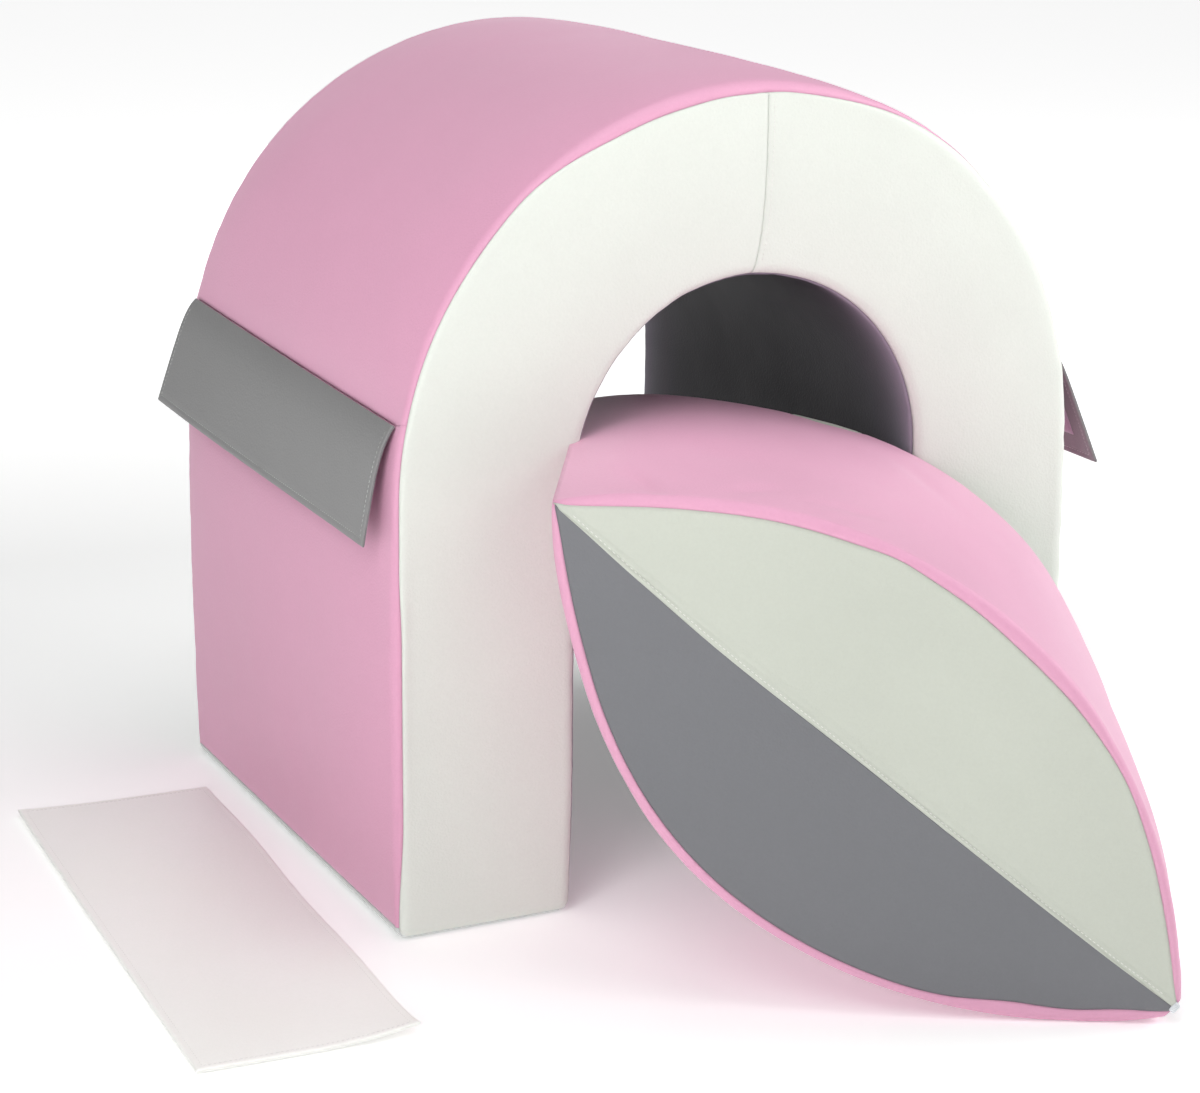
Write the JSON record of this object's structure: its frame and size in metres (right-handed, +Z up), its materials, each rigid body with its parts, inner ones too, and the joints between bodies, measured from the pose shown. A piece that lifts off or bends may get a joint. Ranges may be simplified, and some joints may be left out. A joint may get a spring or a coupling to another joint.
{
  "type": "foam play tunnel set",
  "caption": "Arched foam crawl tunnel in soft covers, with a joining flap on each side, a lens-shaped rocker leaning in its opening and a loose joining strip.",
  "frame": {"origin": "on the floor, in the middle of the left leg's sole", "axes": "+Z up, +X from the left leg to the right leg, +Y from the front, where the rocker leans, to the back"},
  "size_m": [0.8538, 0.8558, 0.6498],
  "materials": {
    "pink_cover": "fine grained faux leather, satin",
    "white_cover": "fine grained faux leather, satin",
    "grey_cover": "fine grained faux leather, satin",
    "lining": "dark faux leather, matt",
    "sole": "grip faux leather, matt",
    "cream_cover": "fine grained faux leather, satin",
    "hook_and_loop": "short woven pile",
    "zip_tape": "woven tape with a coil chain",
    "zip_metal": "satin metal",
    "foam": "open-cell foam"
  },
  "bodies": {
    "tunnel": {"tunnel_foam_core": "foam", "crown_wrap": "pink_cover", "left_side_panel": "pink_cover", "right_side_panel": "pink_cover", "front_panel_left": "white_cover", "front_panel_right": "white_cover", "back_panel_left": "white_cover", "back_panel_right": "white_cover", "opening_lining": "lining", "left_base_panel_outer": "sole", "left_base_panel_inner": "sole", "right_base_panel_outer": "sole", "right_base_panel_inner": "sole", "left_base_zip_chain_outer": "zip_tape", "left_base_zip_chain_inner": "zip_tape", "right_base_zip_chain_outer": "zip_tape", "right_base_zip_chain_inner": "zip_tape"},
    "left_base_slider": {"left_base_zip_slider": "zip_metal"},
    "right_base_slider": {"right_base_zip_slider": "zip_metal"},
    "left_flap": {"left_flap_outer_layer": "grey_cover", "left_flap_inner_layer": "grey_cover", "left_flap_hook_panel": "hook_and_loop"},
    "right_flap": {"right_flap_outer_layer": "grey_cover", "right_flap_inner_layer": "grey_cover", "right_flap_hook_panel": "hook_and_loop"},
    "rocker": {"rocker_foam_core": "foam", "rocker_upper_band": "pink_cover", "rocker_lower_band": "pink_cover", "rocker_front_face_upper": "white_cover", "rocker_front_face_lower": "grey_cover", "rocker_back_face_upper": "white_cover", "rocker_back_face_lower": "grey_cover", "rocker_zip_chain_upper": "zip_tape", "rocker_zip_chain_lower": "zip_tape"},
    "rocker_slider": {"rocker_zip_slider": "zip_metal"},
    "strip": {"strip_top_layer": "cream_cover", "strip_bottom_layer": "cream_cover", "strip_left_loop_panel": "hook_and_loop", "strip_right_loop_panel": "hook_and_loop"}
  },
  "joints": [
    {"name": "left_flap_swing", "type": "hinge", "parent": "tunnel", "child": "left_flap", "pos_m": [-0.06996, 0, 0.4127], "axis": [0, 1, 0], "range_deg": [-10, 130]},
    {"name": "right_flap_swing", "type": "hinge", "parent": "tunnel", "child": "right_flap", "pos_m": [0.51996, 0, 0.4127], "axis": [0, -1, 0], "range_deg": [-12, 130]},
    {"name": "rocker_pull_out", "type": "slide", "parent": "tunnel", "child": "rocker", "axis": [-0.497, -0.8678, 0], "range_m": [0, 0.35]},
    {"name": "strip_lift", "type": "slide", "parent": "tunnel", "child": "strip", "axis": [0, 0, 1], "range_m": [0, 0.3]},
    {"name": "left_base_zip_run", "type": "slide", "parent": "tunnel", "child": "left_base_slider", "axis": [0, -1, 0], "range_m": [0, 0.42]},
    {"name": "right_base_zip_run", "type": "slide", "parent": "tunnel", "child": "right_base_slider", "axis": [0, -1, 0], "range_m": [0, 0.42]},
    {"name": "rocker_zip_run", "type": "slide", "parent": "rocker", "child": "rocker_slider", "axis": [-0.497, -0.8678, 0], "range_m": [0, 0.28]}
  ]
}
